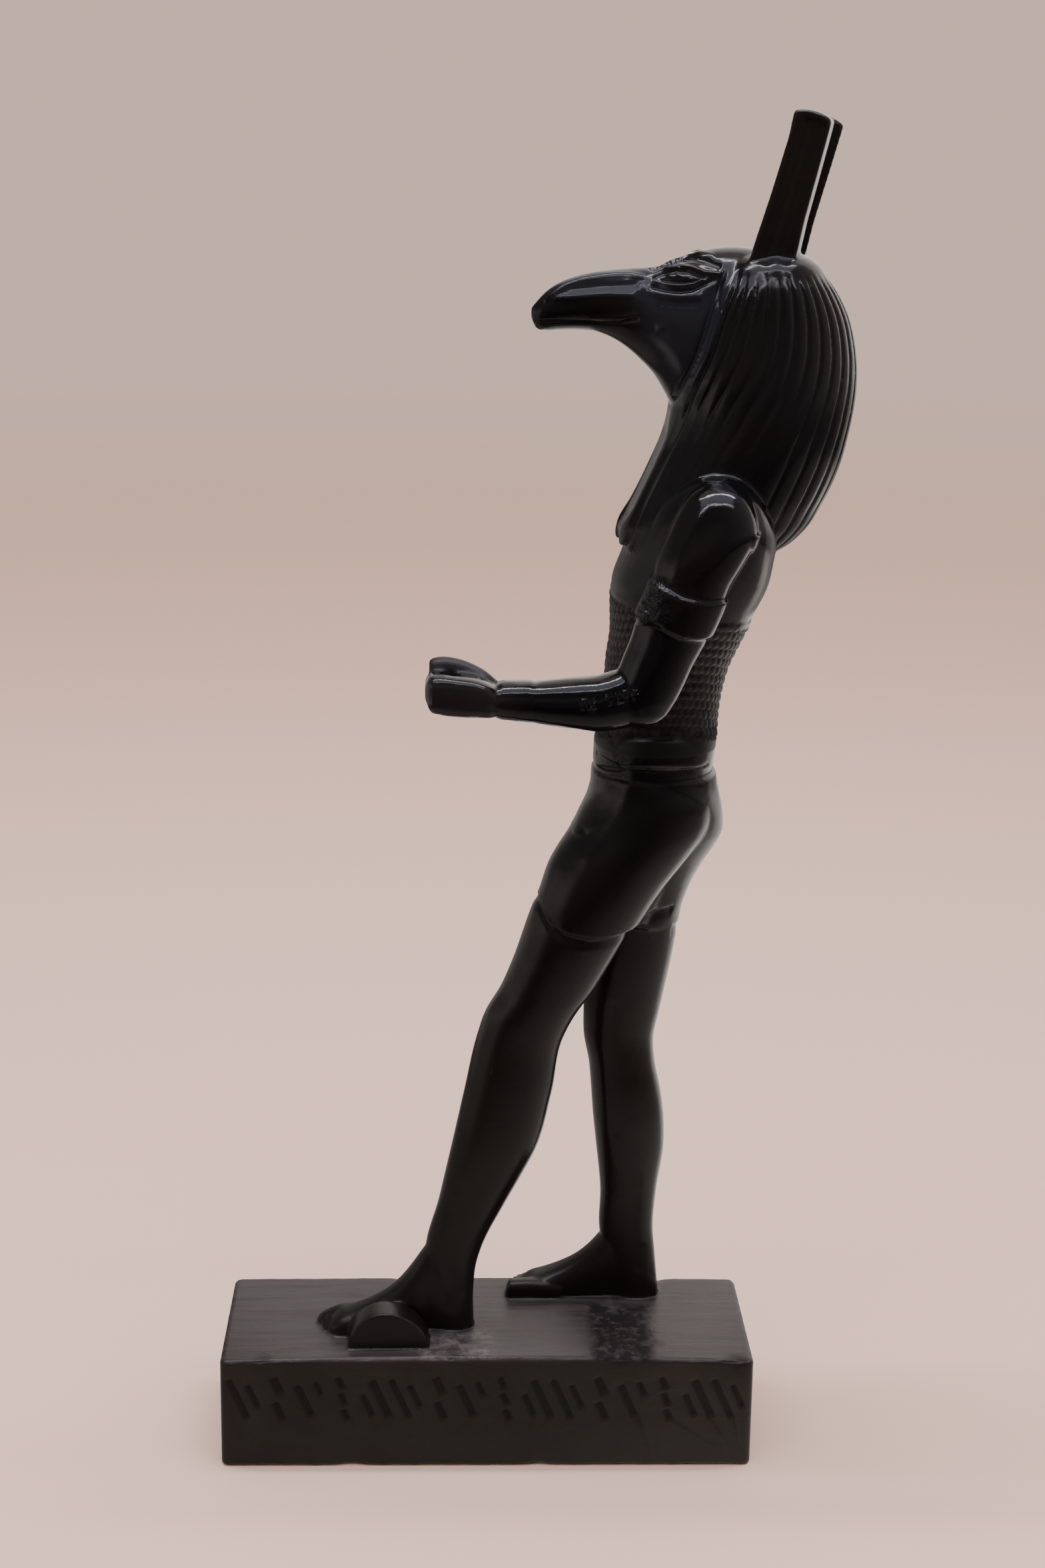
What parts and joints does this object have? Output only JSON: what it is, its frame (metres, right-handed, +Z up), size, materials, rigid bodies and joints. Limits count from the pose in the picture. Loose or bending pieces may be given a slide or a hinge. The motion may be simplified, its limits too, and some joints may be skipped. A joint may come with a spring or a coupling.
{
  "type": "egyptian god statue",
  "caption": "Striding animal-headed Egyptian god with a curved snout, tall square-cut ears, striped wig and short kilt, one arm bent with a closed fist, cast in one with its plinth.",
  "frame": {"origin": "centre of the plinth's underside, on the surface that the statue stands on", "axes": "+Z up, -Y the way the figure faces along the plinth's length, +X towards the figure's left side"},
  "size_m": [0.065, 0.139, 0.3023],
  "materials": {
    "cast_black": "polished black stone-like cast resin, glossy on the figure and a little duller and scuffed on the plinth"
  },
  "bodies": {
    "root": {"statuette": "cast_black"}
  },
  "joints": []
}
